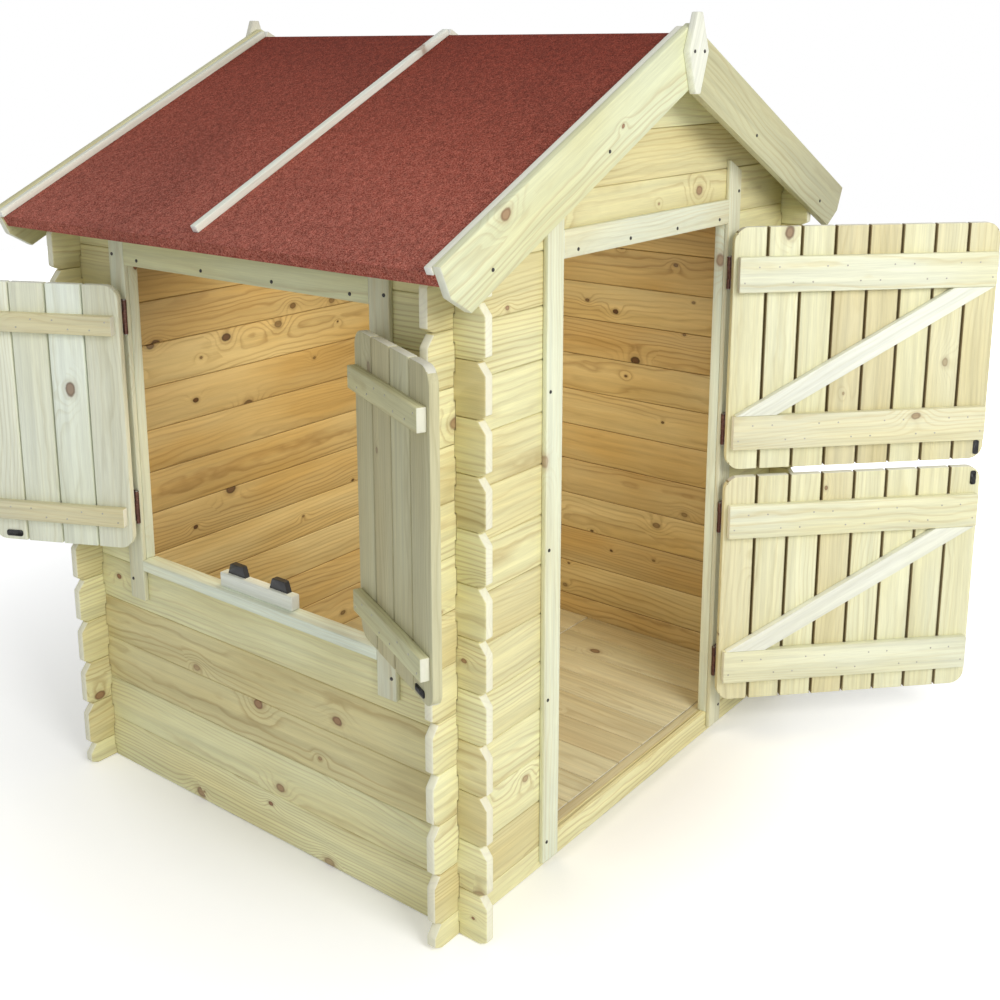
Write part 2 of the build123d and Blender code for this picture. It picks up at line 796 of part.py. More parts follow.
with BuildPart() as hinge_pins:
    for leaf in doors + shutters:
        for level in leaf.hinge_levels():
            foot = level - hinge_high / 2 - pin_play
            with BuildSketch(Plane.XY.offset(foot)):
                with Locations(leaf.pivot):
                    Circle(pin_radius)
            extrude(amount=hinge_high + 2 * pin_play)
            for head_low in (foot - pin_head_high, foot + hinge_high + 2 * pin_play):
                with BuildSketch(Plane.XY.offset(head_low)):
                    with Locations(leaf.pivot):
                        Circle(pin_head_radius)
                extrude(amount=pin_head_high)
save(hinge_pins, "hinge_pins")

# Catches and strikes
catch_behind = leaf_thick + strike_thick + strike_gap
door_middle = upper_door.bottom - door_middle_gap / 2
door_catch_off = door_middle_gap / 2 + door_catch_off_edge
strike_s = hinge_edge + door_wide - door_strike_at

for leaf, side in ((upper_door, 1), (lower_door, -1)):
    level = door_middle + side * door_catch_off
    with BuildPart() as strike:
        with BuildSketch(leaf.plane.offset(inner_face)) as outline:
            with Locations((strike_s, level)):
                Rectangle(strike_wide, door_strike_long)
            fillet(outline.vertices(), strike_wide / 3)
        extrude(amount=strike_thick)
    save(strike, f"{leaf.name}_strike")

for leaf in shutters:
    with BuildPart() as strike:
        with BuildSketch(leaf.plane.offset(inner_face)) as outline:
            with Locations((hinge_edge + shutter_strike_at, leaf.up * (leaf.bottom + shutter_strike_up))):
                Rectangle(strike_long, strike_wide)
            fillet(outline.vertices(), strike_wide / 3)
        extrude(amount=strike_thick)
    save(strike, f"{leaf.name}_strike")

with BuildPart() as door_catches:
    with BuildSketch(Plane.XZ.offset(casing_face_y - catch_behind - catch_deep)) as outline:
        for side in (-1, 1):
            with Locations((-door_half + door_catch_reach / 2, door_middle + side * door_catch_off)):
                Rectangle(door_catch_reach, door_catch_long)
        free_corners = outline.vertices().group_by(Axis.X)[-1]
        fillet(free_corners, door_catch_reach / 4)
    extrude(amount=catch_deep)
save(door_catches, "door_catches")

with BuildPart() as sill_block:
    with BuildSketch(Plane.YZ.offset(-casing_face_x + block_behind)):
        with Locations((0, window_sill_top + block_high / 2)):
            Rectangle(block_long, block_high)
    extrude(amount=block_deep)
save(sill_block, "sill_block")

shutter_catch_at = window_half - leaf_side_gap - shutter_strike_at
catch_foot = window_sill_top + block_high

with BuildPart() as shutter_catches:
    with BuildSketch(Plane.YZ.offset(-casing_face_x + catch_behind)) as outline:
        for side in (-1, 1):
            low_half = catch_long / 2
            high_half = catch_long / 2 - catch_taper
            centre = side * shutter_catch_at
            Polygon(
                (centre - low_half, catch_foot),
                (centre + low_half, catch_foot),
                (centre + high_half, catch_foot + catch_high),
                (centre - high_half, catch_foot + catch_high),
                align=None,
            )
        top_corners = outline.vertices().group_by(Axis.Y)[-1]
        fillet(top_corners, catch_taper / 2)
    extrude(amount=catch_deep)
save(shutter_catches, "shutter_catches")


# Screws
def draw_screws(plane, places):
    """Round screw heads standing on a plane."""
    for place in places:
        with BuildSketch(plane) as profile:
            with Locations(place):
                Circle(screw_radius)
        head = extrude(profile.sketch, amount=screw_high, dir=plane.z_dir)
        outer_rim = head.edges().filter_by(GeomType.CIRCLE).sort_by(Axis(plane.origin, plane.z_dir))[-1]
        fillet(outer_rim, screw_round)


def spread(low, high, count):
    return [low + (high - low) * index / (count - 1) for index in range(count)]


door_screw_x = casing_outer - casing_screw_edge
door_screw_top = casing_cut - casing_outer * tan(slope) - casing_screw_end
door_screw_levels = spread(door_casing_foot + casing_screw_end, door_screw_top, 5)
window_screw_y = window_half + window_casing_wide - casing_screw_edge
window_screw_levels = spread(window_casing_foot + casing_screw_end, window_casing_top - casing_screw_end, 4)
header_screw_level = door_head + header_screw_edge
window_header_screw_level = header_bottom + header_screw_edge
door_header_reach = door_half - casing_screw_end
window_header_reach = window_half - casing_screw_end

with BuildPart() as casing_screws:
    door_places = [(side * door_screw_x, level) for side in (-1, 1) for level in door_screw_levels]
    door_places += [(x, header_screw_level) for x in spread(-door_header_reach, door_header_reach, 4)]
    draw_screws(Plane.XZ.offset(casing_face_y), door_places)
    # The window side faces -X, so this plane's own x runs towards -Y.
    window_face = Plane(origin=(-casing_face_x, 0, 0), x_dir=(0, -1, 0), z_dir=(-1, 0, 0))
    window_places = [(side * window_screw_y, level) for side in (-1, 1) for level in window_screw_levels]
    header_row = spread(-window_header_reach, window_header_reach, 4)
    window_places += [(y, window_header_screw_level) for y in header_row]
    draw_screws(window_face, window_places)
save(casing_screws, "casing_screws")

barge_middle_peak = barge_peak - barge_deep / cos(slope) / 2
barge_screw_levels = [barge_screw_peak, half_width + eave_reach - barge_screw_eave]

with BuildPart() as barge_screws:
    rear_face = Plane(origin=(0, finial_back, 0), x_dir=(-1, 0, 0), z_dir=(0, 1, 0))
    barge_places = []
    for side in (-1, 1):
        for level in barge_screw_levels:
            barge_places.append((side * level, barge_middle_peak - level * tan(slope) - barge_screw_drop))
    for plane in (Plane.XZ.offset(finial_back), rear_face):
        draw_screws(plane, barge_places)
        finial_places = [(-finial_screw_side, shoulder_z), (finial_screw_side, shoulder_z)]
        draw_screws(plane.offset(finial_thick), finial_places)
save(barge_screws, "barge_screws")
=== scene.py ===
import bpy
import bmesh
import json
import random
from math import radians, sin, cos
from mathutils import Matrix, Vector

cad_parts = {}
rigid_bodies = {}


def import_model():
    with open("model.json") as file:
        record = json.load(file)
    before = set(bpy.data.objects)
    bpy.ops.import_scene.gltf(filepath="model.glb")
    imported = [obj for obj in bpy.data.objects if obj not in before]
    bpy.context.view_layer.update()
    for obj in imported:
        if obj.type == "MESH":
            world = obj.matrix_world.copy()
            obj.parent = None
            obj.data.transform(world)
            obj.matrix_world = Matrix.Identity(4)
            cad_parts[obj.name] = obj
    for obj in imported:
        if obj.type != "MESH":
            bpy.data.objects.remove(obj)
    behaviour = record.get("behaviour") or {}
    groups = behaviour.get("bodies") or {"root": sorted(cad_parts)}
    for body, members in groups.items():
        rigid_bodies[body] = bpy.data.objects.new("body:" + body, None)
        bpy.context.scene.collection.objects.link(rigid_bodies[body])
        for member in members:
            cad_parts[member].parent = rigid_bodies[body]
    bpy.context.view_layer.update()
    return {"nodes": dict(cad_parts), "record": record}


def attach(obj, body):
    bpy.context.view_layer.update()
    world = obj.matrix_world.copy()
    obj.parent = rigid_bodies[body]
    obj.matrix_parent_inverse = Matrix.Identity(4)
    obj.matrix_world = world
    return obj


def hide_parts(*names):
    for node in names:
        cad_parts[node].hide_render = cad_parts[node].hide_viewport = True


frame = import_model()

print("frame loaded:", len(frame["nodes"]), "nodes")


# Camera, light and floor, in metres and radians
camera = {
    "place": (-2.0104, -1.6889, 1.4390), "yaw": 0.6589, "pitch": 0.2252,  # it looks down by its pitch
    "focal": 1.2956, "sensorWidth": 36.0,  # focal length as a share of the sensor's width, which is in mm
    "shiftY": -0.152, "farClip": 60.0,
}
studio = {
    "world": (0.95, 0.97, 1.0), "worldStrength": 0.46,
    "key": {"place": (-1.5, -4.6, 3.2), "target": (0, 0, 0.7), "size": 2.4, "power": 158,
            "color": (1.0, 0.98, 0.94)},
    "fill": {"place": (-4.4, -0.6, 2.6), "target": (0, 0, 0.7), "size": 3.0, "power": 14,
             "color": (0.95, 0.98, 1.0)},
    "inside": {"place": (-0.15, -0.05, 0.95), "target": (0.3, 0.3, 0.0), "size": 0.5, "power": 3.9,
               "color": (1.0, 0.90, 0.70)},
    "floor": (0.93, 0.93, 0.92), "floorSize": 14.0, "floorDrop": 0.001,
    # shares of the reach from the house, and how much the floor glows there for the camera
    "floorGlow": [(0.10, 0.0), (0.15, 0.28), (0.5, 1.0)], "glowReach": 5.0,
}


def addCamera():
    data = bpy.data.cameras.new("photoCamera")
    eye = bpy.data.objects.new("photoCamera", data)
    bpy.context.scene.collection.objects.link(eye)
    data.sensor_width = camera["sensorWidth"]
    data.lens = camera["focal"] * camera["sensorWidth"]
    data.shift_y = camera["shiftY"]
    data.clip_end = camera["farClip"]
    yaw, pitch = camera["yaw"], camera["pitch"]
    view = Vector((cos(yaw) * cos(pitch), sin(yaw) * cos(pitch), -sin(pitch)))
    eye.location = camera["place"]
    eye.rotation_euler = view.to_track_quat("-Z", "Y").to_euler()
    bpy.context.scene.camera = eye
    print("camera placed")


def addLamp(name, look):
    data = bpy.data.lights.new(name, "AREA")
    data.shape = "SQUARE"
    data.size = look["size"]
    data.energy = look["power"]
    data.color = look["color"]
    lamp = bpy.data.objects.new(name, data)
    bpy.context.scene.collection.objects.link(lamp)
    lamp.location = look["place"]
    aim = Vector(look["target"]) - Vector(look["place"])
    lamp.rotation_euler = aim.to_track_quat("-Z", "Y").to_euler()


# Shows the second shader to the rays that see the white background, and the first one to all others
def splitRays(tree, lit, seen, out):
    rays = tree.nodes.new("ShaderNodeLightPath")
    mirrored = calc(tree, "MAXIMUM", rays.outputs["Is Glossy Ray"], rays.outputs["Is Transmission Ray"])
    mix = tree.nodes.new("ShaderNodeMixShader")
    tree.links.new(calc(tree, "MAXIMUM", rays.outputs["Is Camera Ray"], mirrored), mix.inputs["Fac"])
    tree.links.new(lit.outputs[0], mix.inputs[1])
    tree.links.new(seen.outputs[0], mix.inputs[2])
    tree.links.new(mix.outputs[0], out.inputs["Surface"])


def addStudio():
    world = bpy.data.worlds.new("studio")
    bpy.context.scene.world = world
    world.use_nodes = True
    tree = world.node_tree
    tree.nodes.clear()
    out = tree.nodes.new("ShaderNodeOutputWorld")
    soft = addNode(tree, "Background", Color=(*studio["world"], 1), Strength=studio["worldStrength"])
    white = addNode(tree, "Background", Color=(1, 1, 1, 1))
    splitRays(tree, soft, white, out)
    for lamp in ("key", "fill", "inside"):
        addLamp(lamp + "Lamp", studio[lamp])
    bpy.context.scene.view_settings.view_transform = "Standard"
    print("lamps and world set")


# The camera sees the floor fade to white away from the house
def addFloor():
    clearSelection()
    bpy.ops.mesh.primitive_plane_add(size=studio["floorSize"], location=(0, 0, -studio["floorDrop"]))
    floor = bpy.context.object
    floor.name = "studioFloor"
    material = bpy.data.materials.new("studioFloor")
    material.use_nodes = True
    tree = material.node_tree
    tree.nodes.clear()
    out = tree.nodes.new("ShaderNodeOutputMaterial")
    matte = addNode(tree, "BsdfDiffuse", Color=(*studio["floor"], 1))
    gap = addNode(tree, "VectorMath", operation="LENGTH")
    tree.links.new(objectPlace(tree), gap.inputs[0])
    far = calc(tree, "DIVIDE", gap.outputs["Value"], studio["glowReach"], clamp=True)
    glow = addNode(tree, "Emission", Strength=1.0)
    tree.links.new(ramp(tree, far, studio["floorGlow"]), glow.inputs["Color"])
    both = tree.nodes.new("ShaderNodeAddShader")
    tree.links.new(matte.outputs[0], both.inputs[0])
    tree.links.new(glow.outputs[0], both.inputs[1])
    splitRays(tree, matte, both, out)
    floor.data.materials.append(material)
    print("floor laid")


def clearSelection():
    if bpy.context.object and bpy.context.object.mode != "OBJECT":
        bpy.ops.object.mode_set(mode="OBJECT")
    bpy.ops.object.select_all(action="DESELECT")


def pick(piece):
    clearSelection()
    piece.select_set(True)
    bpy.context.view_layer.objects.active = piece


# Nodes of a material
def newMaterial(name):
    material = bpy.data.materials.new(name)
    material.use_nodes = True
    tree = material.node_tree
    tree.nodes.clear()
    out = tree.nodes.new("ShaderNodeOutputMaterial")
    shader = tree.nodes.new("ShaderNodeBsdfPrincipled")
    tree.links.new(shader.outputs[0], out.inputs["Surface"])
    return material, tree, shader


def addNode(tree, kind, **values):
    node = tree.nodes.new("ShaderNode" + kind)
    for key, value in values.items():
        if hasattr(node, key):
            setattr(node, key, value)
        else:
            node.inputs[key].default_value = value
    return node


def objectPlace(tree):
    return addNode(tree, "TexCoord").outputs["Object"]


def attribute(tree, name, output="Fac"):
    return addNode(tree, "Attribute", attribute_name=name).outputs[output]


def splitVector(tree, vector):
    node = tree.nodes.new("ShaderNodeSeparateXYZ")
    tree.links.new(vector, node.inputs[0])
    return node.outputs


def calc(tree, operation, first, second=None, third=None, clamp=False):
    node = tree.nodes.new("ShaderNodeMath")
    node.operation = operation
    node.use_clamp = clamp
    for socket, value in zip(node.inputs, (first, second, third)):
        if value is None:
            continue
        if isinstance(value, (int, float)):
            socket.default_value = value
        else:
            tree.links.new(value, socket)
    return node.outputs[0]


# A value from 0 to 1, spread evenly about a middle one
def spread(tree, value, width, middle=0.0):
    return calc(tree, "MULTIPLY_ADD", value, width, middle - width / 2)


def stretch(tree, vector, scale, shift=(0, 0, 0)):
    node = addNode(tree, "Mapping", Scale=scale, Location=shift)
    tree.links.new(vector, node.inputs["Vector"])
    return node.outputs[0]


def noise(tree, vector, scale=1.0, detail=2.0, roughness=0.5):
    node = addNode(tree, "TexNoise", Scale=scale, Detail=detail, Roughness=roughness)
    tree.links.new(vector, node.inputs["Vector"])
    return node.outputs[0]


# Stops are places with a grey level or a colour
def ramp(tree, value, stops):
    node = tree.nodes.new("ShaderNodeValToRGB")
    elements = node.color_ramp.elements
    while len(elements) < len(stops):
        elements.new(0.5)
    for element, (place, color) in zip(elements, stops):
        element.position = place
        element.color = (*color, 1) if isinstance(color, tuple) else (color, color, color, 1)
    tree.links.new(value, node.inputs[0])
    return node.outputs[0]


def mixColor(tree, factor, first, second, blend="MIX"):
    node = tree.nodes.new("ShaderNodeMix")
    node.data_type = "RGBA"
    node.blend_type = blend
    # of a colour mix, 6 and 7 are the two colours that go in, and 2 is the one that comes out
    for socket, value in ((node.inputs[0], factor), (node.inputs[6], first), (node.inputs[7], second)):
        if isinstance(value, (int, float)):
            socket.default_value = value
        elif isinstance(value, tuple):
            socket.default_value = (*value, 1)
        else:
            tree.links.new(value, socket)
    return node.outputs[2]


def multiply(tree, color, shade, share=1.0):
    return mixColor(tree, share, color, shade, "MULTIPLY")


def bumpFrom(tree, height, strength, distance):
    node = addNode(tree, "Bump", Strength=strength, Distance=distance)
    tree.links.new(height, node.inputs["Height"])
    return node.outputs[0]


# Pine. A cell of a board has a knot where its dice beat "knots", and "ring" is a ring's width in metres
pineLooks = {
    "outside": {"early": (0.84, 0.82, 0.50), "late": (0.46, 0.33, 0.13), "warm": (0.79, 0.73, 0.40),
                "knot": (0.30, 0.14, 0.07), "rim": (0.13, 0.055, 0.025),
                "knots": 0.60, "ring": 0.0078, "contrast": 0.54, "roughness": 0.58},
    # the room's side of the logs, within half the room's width and depth: the same pine with painted shade,
    # darker and warmer; its knots and contrast are its own
    "inside": {"early": (0.66, 0.54, 0.28), "late": (0.30, 0.18, 0.06), "warm": (0.60, 0.43, 0.17),
               "knot": (0.10, 0.045, 0.018), "rim": (0.04, 0.018, 0.008),
               "knots": 0.44, "contrast": 0.58, "halfX": 0.545, "halfY": 0.465,
               "jointShade": (0.46, 0.36, 0.24)},
    "floor": {"early": (0.66, 0.61, 0.40), "late": (0.46, 0.37, 0.20), "warm": (0.60, 0.53, 0.33),
              "knot": (0.22, 0.12, 0.06), "rim": (0.10, 0.05, 0.025),
              "knots": 0.80, "ring": 0.0075, "contrast": 0.6, "roughness": 0.55},
    "trim": {"early": (0.80, 0.86, 0.72), "late": (0.66, 0.60, 0.37), "warm": (0.80, 0.81, 0.60),
             "knot": (0.34, 0.15, 0.08), "rim": (0.17, 0.07, 0.035),
             "knots": 0.76, "ring": 0.0070, "contrast": 0.55, "roughness": 0.55},
    "barge": {"early": (0.72, 0.74, 0.50), "late": (0.52, 0.44, 0.23), "warm": (0.68, 0.67, 0.40),
              "knot": (0.32, 0.16, 0.08), "rim": (0.15, 0.07, 0.03),
              "knots": 0.86, "ring": 0.0085, "contrast": 0.6, "roughness": 0.55},
    # painted shade: a darker copy of the barge pine for the front right barge, which lies in the same plane
    # as the lit left one
    "farBarge": {"early": (0.56, 0.55, 0.35), "late": (0.41, 0.34, 0.17), "warm": (0.52, 0.49, 0.29),
                 "knot": (0.30, 0.15, 0.08), "rim": (0.15, 0.07, 0.03),
                 "knots": 0.86, "ring": 0.0085, "contrast": 0.6, "roughness": 0.55},
    "plank": {"early": (0.83, 0.82, 0.58), "late": (0.64, 0.58, 0.33), "warm": (0.78, 0.74, 0.47),
              "knot": (0.24, 0.12, 0.06), "rim": (0.10, 0.05, 0.025),
              "knots": 0.80, "ring": 0.0072, "contrast": 0.5, "roughness": 0.6},
    # painted shade: a dark copy of the plank pine for the plank edges in the gaps between the door planks
    "gap": {"early": (0.34, 0.28, 0.15), "late": (0.24, 0.18, 0.09), "warm": (0.30, 0.24, 0.12),
            "knot": (0.12, 0.06, 0.03), "rim": (0.06, 0.03, 0.015),
            "knots": 0.90, "ring": 0.0072, "contrast": 0.5, "roughness": 0.7},
    # painted light and shade: lit and shaded copies of the shutter pine, darker for the front shutter, which
    # faces away from the key lamp, and lighter for the rear shutter, which faces it
    "nearShutter": {"early": (0.60, 0.58, 0.38), "late": (0.43, 0.39, 0.22), "warm": (0.55, 0.51, 0.31),
                    "knot": (0.22, 0.13, 0.08), "rim": (0.10, 0.06, 0.035),
                    "knots": 0.84, "ring": 0.0072, "contrast": 0.5, "roughness": 0.6},
    "farShutter": {"early": (0.87, 0.92, 0.80), "late": (0.66, 0.66, 0.48), "warm": (0.83, 0.86, 0.70),
                   "knot": (0.26, 0.15, 0.09), "rim": (0.12, 0.07, 0.04),
                   "knots": 0.80, "ring": 0.0072, "contrast": 0.5, "roughness": 0.6},
    # painted shade: a darker copy of the ledge pine for the front shutter's ledges, which face away from the
    # key lamp
    "nearLedge": {"early": (0.66, 0.66, 0.42), "late": (0.46, 0.40, 0.20), "warm": (0.60, 0.58, 0.34),
                  "knot": (0.22, 0.12, 0.06), "rim": (0.10, 0.05, 0.025),
                  "knots": 0.84, "ring": 0.0075, "contrast": 0.6, "roughness": 0.6},
    "ledge": {"early": (0.81, 0.82, 0.64), "late": (0.68, 0.60, 0.33), "warm": (0.83, 0.80, 0.52),
              "knot": (0.26, 0.13, 0.06), "rim": (0.12, 0.06, 0.03),
              "knots": 0.80, "ring": 0.0075, "contrast": 0.6, "roughness": 0.55},
    "white": {"early": (0.86, 0.88, 0.80), "late": (0.74, 0.74, 0.60), "warm": (0.84, 0.86, 0.74),
              "knot": (0.40, 0.24, 0.16), "rim": (0.22, 0.12, 0.07),
              "knots": 0.90, "ring": 0.0075, "contrast": 0.4, "roughness": 0.55},
}
# Cells of each noise to a metre along, across and through a board, and where the noise starts
pineNoise = {
    "wobble": {"scale": (60, 60, 60)},
    "wander": {"scale": (1.5, 4, 4)},
    "sway": {"scale": (9, 26, 26), "shift": (5, 1, 2)},
    "drift": {"scale": (0.6, 22, 22), "detail": 1},
    "streak": {"scale": (2.2, 70, 70), "detail": 4, "roughness": 0.6},
    "fibre": {"scale": (22, 900, 900), "roughness": 0.6},
    "patch": {"scale": (2.6, 9, 9), "shift": (3, 7, 1)},
    "strength": {"scale": (1.7, 14, 14), "shift": (8, 3, 5)},
}
pineRamps = {
    "ringLine": [(0.0, 0.1), (0.5, 0.0), (0.86, 1.0), (0.93, 0.6), (1.0, 0.1)],
    "patch": [(0.38, 0.0), (0.68, 1.0)], "strength": [(0.34, 0.12), (0.62, 1.0)],
    "streak": [(0.32, 0.86), (0.62, 1.05)], "fibre": [(0.3, 0.93), (0.7, 1.04)],
    "halo": [(0.35, 0.75), (1.0, 0.0)], "core": [(0.62, 1.0), (0.95, 0.0)],
    "rim": [(0.45, 0.0), (0.72, 1.0), (0.98, 0.0)],
    "boardTone": [(0.0, (0.88, 0.82, 0.74)), (0.35, (0.97, 0.94, 0.89)), (0.7, (1.0, 1.0, 0.98)),
                  (1.0, (1.05, 1.06, 1.07))],
}
# Pairs are what the value is multiplied by and what is added to it
pinePattern = {
    "knotCells": (6.0, 8.6, 0), "wobble": 0.04,  # cells of a board to a metre, and wobble in cells
    "knotPower": 1.6, "knotSize": (0.135, 0.045),
    "bendReach": (1.4, 0.02), "bendHeight": (0.16, 0.003),  # how the rings bend round a knot
    "wander": 0.10, "sway": 0.012, "drift": 2.6,
    "endShare": 0.7, "endColor": (0.4, 0.54), "jointDepth": (0.42, 0.16),
    "knotDepth": (0.7, 0.35), "coreEdge": 1.8, "haloShare": 0.6, "rimShare": 0.8,
    "bump": 0.3, "bumpDepth": 0.0005, "roughSpread": 0.2, "knotPolish": 0.15, "gloss": 0.35,
}


# Mixes the two looks of a log: the room's, with its painted shade, on faces towards the room and within the
# walls
def mixRoomLook(tree, outer, room):
    sides = splitVector(tree, objectPlace(tree))
    withinX = calc(tree, "LESS_THAN", calc(tree, "ABSOLUTE", sides[0]), room["halfX"])
    withinY = calc(tree, "LESS_THAN", calc(tree, "ABSOLUTE", sides[1]), room["halfY"])
    within = calc(tree, "MULTIPLY", withinX, withinY)
    roomShare = calc(tree, "MULTIPLY", within, attribute(tree, "roomFace"))
    look = dict(outer)
    # painted shade: the room's copy of the colours is darker and warmer
    for key in ("early", "late", "warm", "knot", "rim"):
        look[key] = mixColor(tree, roomShare, outer[key], room[key])
    for key in ("knots", "contrast"):
        look[key] = calc(tree, "MULTIPLY_ADD", roomShare, room[key] - outer[key], outer[key])
    return look, roomShare


def pineMaterial(name, look, room=None):
    material, tree, shader = newMaterial(name)
    pattern = pinePattern
    endColor = tuple(pattern["endColor"][0] * c + pattern["endColor"][1] for c in look["early"])
    if room:
        look, roomShare = mixRoomLook(tree, look, room)
        haloColor = mixColor(tree, 0.5, look["late"], look["knot"])
    else:
        haloColor = tuple(0.5 * (a + b) for a, b in zip(look["late"], look["knot"]))
    grain = attribute(tree, "grain", "Vector")

    def grainNoise(key):
        shape = pineNoise[key]
        place = stretch(tree, grain, shape["scale"], shape.get("shift", (0, 0, 0)))
        return noise(tree, place, detail=shape.get("detail", 2), roughness=shape.get("roughness", 0.5))

    def grainRamp(key, value):
        return ramp(tree, value, pineRamps[key])

    # knots: one in some of a board's cells, oval along the grain
    cells = addNode(tree, "TexVoronoi", voronoi_dimensions="2D", Scale=1.0)
    tree.links.new(stretch(tree, grain, pattern["knotCells"]), cells.inputs["Vector"])
    dice = tree.nodes.new("ShaderNodeSeparateColor")
    tree.links.new(cells.outputs["Color"], dice.inputs[0])
    hasKnot = calc(tree, "GREATER_THAN", dice.outputs[0], look["knots"])
    wobble = spread(tree, grainNoise("wobble"), pattern["wobble"])
    reach = calc(tree, "ADD", cells.outputs["Distance"], wobble)
    share = calc(tree, "POWER", dice.outputs[1], pattern["knotPower"])
    size = calc(tree, "MULTIPLY_ADD", share, *pattern["knotSize"])
    bend = calc(tree, "DIVIDE", reach, calc(tree, "MULTIPLY_ADD", size, *pattern["bendReach"]))
    bend = calc(tree, "MULTIPLY", calc(tree, "POWER", bend, 2.0), -1.0)
    bendHeight = calc(tree, "MULTIPLY_ADD", size, *pattern["bendHeight"])
    bendHeight = calc(tree, "MULTIPLY", hasKnot, bendHeight)
    bulge = calc(tree, "MULTIPLY", calc(tree, "EXPONENT", bend), bendHeight)

    # growth rings about a heart that wanders along the board
    parts = splitVector(tree, grain)
    across = calc(tree, "ADD", parts[1], spread(tree, grainNoise("wander"), pattern["wander"]))
    depth = calc(tree, "ADD", parts[2], spread(tree, grainNoise("sway"), pattern["sway"]))
    acrossSquare, depthSquare = [calc(tree, "MULTIPLY", part, part) for part in (across, depth)]
    radius = calc(tree, "SQRT", calc(tree, "ADD", acrossSquare, depthSquare))
    radius = calc(tree, "ADD", radius, bulge)
    drift = calc(tree, "MULTIPLY", grainNoise("drift"), pattern["drift"])
    phase = calc(tree, "ADD", calc(tree, "DIVIDE", radius, look["ring"]), drift)
    ringLine = grainRamp("ringLine", calc(tree, "FRACT", phase))

    # streaks and fibres along the board
    streak = grainNoise("streak")
    fibre = grainNoise("fibre")
    color = mixColor(tree, grainRamp("patch", grainNoise("patch")), look["early"], look["warm"])
    strength = grainRamp("strength", grainNoise("strength"))
    latewood = calc(tree, "MULTIPLY", ringLine, strength, clamp=True)
    latewood = calc(tree, "MULTIPLY", latewood, look["contrast"], clamp=True)
    color = mixColor(tree, latewood, color, look["late"])
    color = multiply(tree, color, grainRamp("streak", streak))
    color = multiply(tree, color, grainRamp("fibre", fibre))
    color = multiply(tree, color, grainRamp("boardTone", attribute(tree, "boardTone")))
    ends = calc(tree, "MULTIPLY", attribute(tree, "endGrain"), pattern["endShare"])
    color = mixColor(tree, ends, color, endColor)
    if room:
        jointDepth = calc(tree, "MULTIPLY_ADD", roomShare, *pattern["jointDepth"])
        jointDepth = calc(tree, "MULTIPLY", attribute(tree, "jointFace"), jointDepth)
        color = multiply(tree, color, room["jointShade"], jointDepth)

    # the knot itself, with its halo and its dark rim
    edge = calc(tree, "DIVIDE", reach, size)
    coreEdge = calc(tree, "MULTIPLY", edge, pattern["coreEdge"])
    knotDepth = calc(tree, "MULTIPLY_ADD", dice.outputs[2], *pattern["knotDepth"], clamp=True)
    knotDepth = calc(tree, "MULTIPLY", hasKnot, knotDepth)
    halo = calc(tree, "MULTIPLY", grainRamp("halo", edge), hasKnot)
    core = calc(tree, "MULTIPLY", grainRamp("core", coreEdge), knotDepth)
    rim = calc(tree, "MULTIPLY", grainRamp("rim", coreEdge), knotDepth)
    color = mixColor(tree, calc(tree, "MULTIPLY", halo, pattern["haloShare"]), color, haloColor)
    color = mixColor(tree, core, color, look["knot"])
    color = mixColor(tree, calc(tree, "MULTIPLY", rim, pattern["rimShare"]), color, look["rim"])

    tree.links.new(color, shader.inputs["Base Color"])
    tree.links.new(bumpFrom(tree, fibre, pattern["bump"], pattern["bumpDepth"]), shader.inputs["Normal"])
    rough = spread(tree, streak, pattern["roughSpread"], look["roughness"])
    polish = calc(tree, "MULTIPLY", core, pattern["knotPolish"])
    tree.links.new(calc(tree, "SUBTRACT", rough, polish), shader.inputs["Roughness"])
    shader.inputs["Specular IOR Level"].default_value = pattern["gloss"]
    return material


